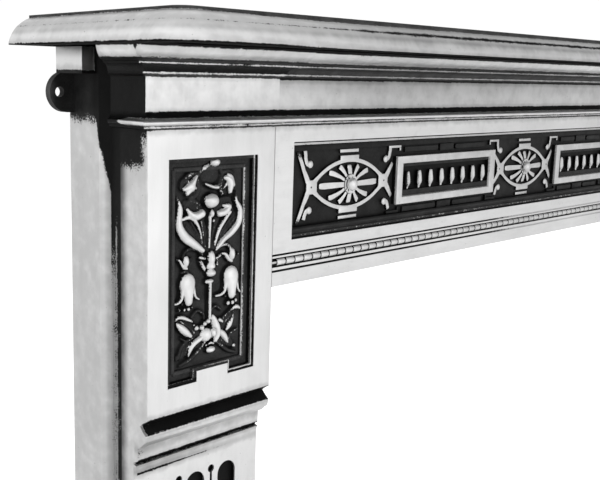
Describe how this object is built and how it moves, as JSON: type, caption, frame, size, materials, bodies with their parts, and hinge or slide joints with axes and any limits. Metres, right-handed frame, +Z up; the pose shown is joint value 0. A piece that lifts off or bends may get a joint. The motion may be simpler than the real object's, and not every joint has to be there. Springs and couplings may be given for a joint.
{
  "type": "cast iron fireplace surround",
  "caption": "Cast-iron fireplace surround: two hollow legs, a hollow header with a sunk frieze and a moulded mantel shelf, bolted together from behind.",
  "frame": {"origin": "on the floor, at the middle of the overall width and of the overall depth (shelf front to wall plane)", "axes": "+X across the front to the right, +Y back into the wall, +Z up"},
  "size_m": [1.301, 0.183, 1.1628],
  "materials": {
    "polished_iron": "hand polished on the high surfaces, black-leaded in the recesses",
    "fixing_steel": "plain oiled steel"
  },
  "bodies": {
    "root": {"mantel_shelf": "polished_iron", "header": "polished_iron", "left_leg": "polished_iron", "right_leg": "polished_iron", "joint_bolts": "fixing_steel", "joint_washers": "fixing_steel", "joint_nuts": "fixing_steel", "shelf_bolts": "fixing_steel", "shelf_washers": "fixing_steel"}
  },
  "joints": []
}
